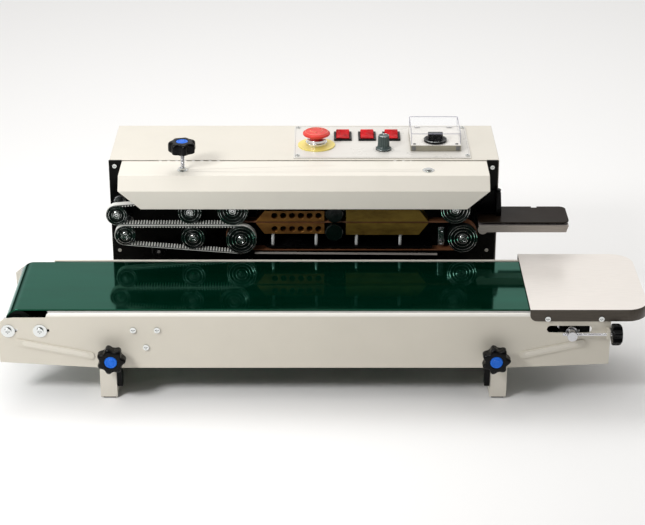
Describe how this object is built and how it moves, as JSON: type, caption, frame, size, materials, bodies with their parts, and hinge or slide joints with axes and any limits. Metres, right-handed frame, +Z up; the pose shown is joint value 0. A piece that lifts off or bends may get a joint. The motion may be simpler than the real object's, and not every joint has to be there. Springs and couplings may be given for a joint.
{
  "type": "continuous band sealer",
  "caption": "Table-top continuous band sealer: belts carry a bag's mouth past heater and cooling blocks over a short belt conveyor.",
  "frame": {"origin": "middle of the footprint, on the surface that the feet stand on", "axes": "+X along the conveyor towards the worktable, +Y from the conveyor's front panel towards the housing's back, +Z up"},
  "size_m": [0.84, 0.3964, 0.2895],
  "materials": {
    "cream_paint": "satin powder coat",
    "black_paint": "satin black paint",
    "bright_steel": "zinc plated",
    "stainless": "brushed stainless",
    "control_plate_paint": "printed plate, satin",
    "foot_rubber": "matte",
    "brass": "machined, heat tinted",
    "sealing_belt": "PTFE coated glass cloth",
    "toothed_belt": "white, moulded teeth",
    "estop_yellow": "gloss",
    "estop_red": "gloss",
    "black_plastic": "fine moulded",
    "rocker_red": "translucent red",
    "knob_grey": "matte",
    "controller_ivory": "matte",
    "clear_plastic": "clear polycarbonate",
    "motor_iron": "cast and painted",
    "dark_wheel": "black anodised, turned rings",
    "roller_rubber": "knurled silicone",
    "green_belt": "smooth PVC"
  },
  "bodies": {
    "root": {"housing_shell": "cream_paint", "rear_cover": "cream_paint", "main_plate": "black_paint", "guard_cover": "cream_paint", "housing_screws": "bright_steel", "control_plate": "control_plate_paint", "support_arm_left": "cream_paint", "support_arm_right": "cream_paint", "foot_pads": "foot_rubber", "upper_heater_block": "brass", "lower_heater_block": "brass", "upper_cooling_block": "brass", "lower_cooling_block": "brass", "block_studs": "bright_steel", "upper_sealing_belt": "sealing_belt", "lower_sealing_belt": "sealing_belt", "upper_toothed_belt": "toothed_belt", "lower_toothed_belt": "toothed_belt", "shaft_bearings": "bright_steel", "upper_infeed_guide": "stainless", "lower_infeed_guide": "stainless", "guide_bracket": "black_paint", "estop_base": "estop_yellow", "rocker_bezels": "black_plastic", "controller_body": "controller_ivory", "gearmotor": "motor_iron", "power_inlet": "black_plastic", "fan_frame": "black_plastic"},
    "conveyor": {"front_panel": "cream_paint", "rear_panel": "cream_paint", "slider_bed": "bright_steel", "conveyor_belt": "green_belt", "worktable": "stainless", "conveyor_screws": "bright_steel", "slide_bars": "black_paint"},
    "drive_roller": {"drive_roller": "dark_wheel"},
    "tension_block": {"tension_block": "bright_steel"},
    "tension_roller": {"tension_roller": "bright_steel"},
    "tension_knob": {"tension_knob": "black_plastic"},
    "clamp_knob_left": {"clamp_knob_left": "black_plastic"},
    "clamp_knob_right": {"clamp_knob_right": "black_plastic"},
    "lower_drive": {"lower_drive_wheel": "dark_wheel"},
    "upper_drive": {"upper_drive_wheel": "dark_wheel"},
    "lower_idler": {"lower_idler_wheel": "dark_wheel"},
    "upper_idler": {"upper_idler_wheel": "dark_wheel"},
    "lower_guide": {"lower_guide_pulley": "dark_wheel"},
    "upper_guide": {"upper_guide_pulley": "dark_wheel"},
    "lower_press": {"lower_press_wheel": "dark_wheel"},
    "upper_press": {"upper_press_wheel": "dark_wheel"},
    "lower_pinch": {"lower_pinch_roller": "roller_rubber"},
    "upper_pinch": {"upper_pinch_roller": "roller_rubber"},
    "pressure_knob": {"pressure_knob": "black_plastic"},
    "estop_button": {"estop_button": "estop_red"},
    "rocker_drive": {"rocker_drive": "rocker_red"},
    "rocker_fan": {"rocker_fan": "rocker_red"},
    "rocker_heat": {"rocker_heat": "rocker_red"},
    "speed_knob": {"speed_knob": "knob_grey"},
    "temperature_dial": {"temperature_dial": "black_plastic"},
    "controller_lid": {"controller_lid": "clear_plastic"},
    "fan_rotor": {"fan_rotor": "black_plastic"}
  },
  "joints": [
    {"name": "conveyor_height", "type": "slide", "parent": "root", "child": "conveyor", "axis": [0, 0, 1], "range_m": [-0.015, 0.02]},
    {"name": "lower_drive_spin", "type": "hinge", "parent": "root", "child": "lower_drive", "pos_m": [-0.112, 0.0198, 0.1536], "axis": [0, 1, 0], "continuous": true},
    {"name": "upper_drive_spin", "type": "hinge", "parent": "root", "child": "upper_drive", "pos_m": [-0.123, 0.0198, 0.196], "axis": [0, 1, 0], "continuous": true},
    {"name": "lower_idler_spin", "type": "hinge", "parent": "root", "child": "lower_idler", "pos_m": [0.1904, 0.0198, 0.1536], "axis": [0, 1, 0], "continuous": true},
    {"name": "upper_idler_spin", "type": "hinge", "parent": "root", "child": "upper_idler", "pos_m": [0.1794, 0.0198, 0.196], "axis": [0, 1, 0], "continuous": true},
    {"name": "lower_guide_spin", "type": "hinge", "parent": "root", "child": "lower_guide", "pos_m": [-0.2696, 0.0198, 0.1599], "axis": [0, 1, 0], "continuous": true},
    {"name": "upper_guide_spin", "type": "hinge", "parent": "root", "child": "upper_guide", "pos_m": [-0.2802, 0.0198, 0.1897], "axis": [0, 1, 0], "continuous": true},
    {"name": "lower_press_spin", "type": "hinge", "parent": "root", "child": "lower_press", "pos_m": [-0.1774, 0.0198, 0.1562], "axis": [0, 1, 0], "continuous": true},
    {"name": "upper_press_spin", "type": "hinge", "parent": "root", "child": "upper_press", "pos_m": [-0.181, 0.0198, 0.1936], "axis": [0, 1, 0], "continuous": true},
    {"name": "lower_pinch_spin", "type": "hinge", "parent": "root", "child": "lower_pinch", "pos_m": [0.015, 0.0198, 0.1613], "axis": [0, 1, 0], "continuous": true},
    {"name": "upper_pinch_spin", "type": "hinge", "parent": "root", "child": "upper_pinch", "pos_m": [0.015, 0.0198, 0.1883], "axis": [0, 1, 0], "continuous": true},
    {"name": "conveyor_drive_spin", "type": "hinge", "parent": "conveyor", "child": "drive_roller", "pos_m": [-0.393, -0.0902, 0.11], "axis": [0, 1, 0], "continuous": true},
    {"name": "tension_knob_turn", "type": "hinge", "parent": "conveyor", "child": "tension_knob", "pos_m": [0.374, -0.1782, 0.0995], "axis": [1, 0, 0], "range_deg": [0, 2881]},
    {"name": "tension_travel", "type": "slide", "parent": "conveyor", "child": "tension_block", "axis": [1, 0, 0], "range_m": [-0.01, 0]},
    {"name": "tension_roller_spin", "type": "hinge", "parent": "tension_block", "child": "tension_roller", "pos_m": [0.317, -0.0902, 0.11], "axis": [0, 1, 0], "continuous": true},
    {"name": "clamp_left_turn", "type": "hinge", "parent": "conveyor", "child": "clamp_knob_left", "pos_m": [-0.274, -0.1822, 0.068], "axis": [0, 1, 0], "range_deg": [0, 360]},
    {"name": "clamp_right_turn", "type": "hinge", "parent": "conveyor", "child": "clamp_knob_right", "pos_m": [0.222, -0.1822, 0.068], "axis": [0, 1, 0], "range_deg": [0, 360]},
    {"name": "pressure_turn", "type": "hinge", "parent": "root", "child": "pressure_knob", "pos_m": [-0.1906, 0.0228, 0.28], "axis": [0, 0, 1], "range_deg": [0, 360]},
    {"name": "estop_press", "type": "slide", "parent": "root", "child": "estop_button", "axis": [0, 0, -1], "range_m": [0, 0.004]},
    {"name": "rocker_drive_tilt", "type": "hinge", "parent": "root", "child": "rocker_drive", "pos_m": [0.0276, 0.1448, 0.25], "axis": [1, 0, 0], "range_deg": [-18, 0]},
    {"name": "rocker_fan_tilt", "type": "hinge", "parent": "root", "child": "rocker_fan", "pos_m": [0.0618, 0.1448, 0.25], "axis": [1, 0, 0], "range_deg": [-18, 0]},
    {"name": "rocker_heat_tilt", "type": "hinge", "parent": "root", "child": "rocker_heat", "pos_m": [0.096, 0.1448, 0.25], "axis": [1, 0, 0], "range_deg": [-18, 0]},
    {"name": "speed_turn", "type": "hinge", "parent": "root", "child": "speed_knob", "pos_m": [0.0837, 0.0958, 0.26], "axis": [0, 0, -1], "range_deg": [0, 270]},
    {"name": "temperature_turn", "type": "hinge", "parent": "root", "child": "temperature_dial", "pos_m": [0.1558, 0.1061, 0.262], "axis": [0, 0, -1], "range_deg": [0, 300]},
    {"name": "lid_open", "type": "hinge", "parent": "root", "child": "controller_lid", "pos_m": [0.1558, 0.1601, 0.2596], "axis": [-1, 0, 0], "range_deg": [0, 100]},
    {"name": "fan_spin", "type": "hinge", "parent": "root", "child": "fan_rotor", "pos_m": [-0.04, 0.1798, 0.165], "axis": [0, 1, 0], "continuous": true}
  ],
  "couplings": [
    {"joint": "upper_drive_spin", "follows": "lower_drive_spin", "ratio": -1},
    {"joint": "lower_idler_spin", "follows": "lower_drive_spin", "ratio": 1},
    {"joint": "upper_idler_spin", "follows": "lower_drive_spin", "ratio": -1},
    {"joint": "lower_guide_spin", "follows": "lower_drive_spin", "ratio": 1.4884},
    {"joint": "upper_guide_spin", "follows": "lower_drive_spin", "ratio": -1.4884},
    {"joint": "lower_press_spin", "follows": "lower_drive_spin", "ratio": 1.2857},
    {"joint": "upper_press_spin", "follows": "lower_drive_spin", "ratio": -1.2857},
    {"joint": "lower_pinch_spin", "follows": "lower_drive_spin", "ratio": 1.6557},
    {"joint": "upper_pinch_spin", "follows": "lower_drive_spin", "ratio": -1.6557},
    {"joint": "conveyor_drive_spin", "follows": "lower_drive_spin", "ratio": 1.1667},
    {"joint": "tension_roller_spin", "follows": "lower_drive_spin", "ratio": 1.1667},
    {"joint": "tension_knob_turn", "follows": "tension_travel", "rad_per_m": -5026.5}
  ]
}
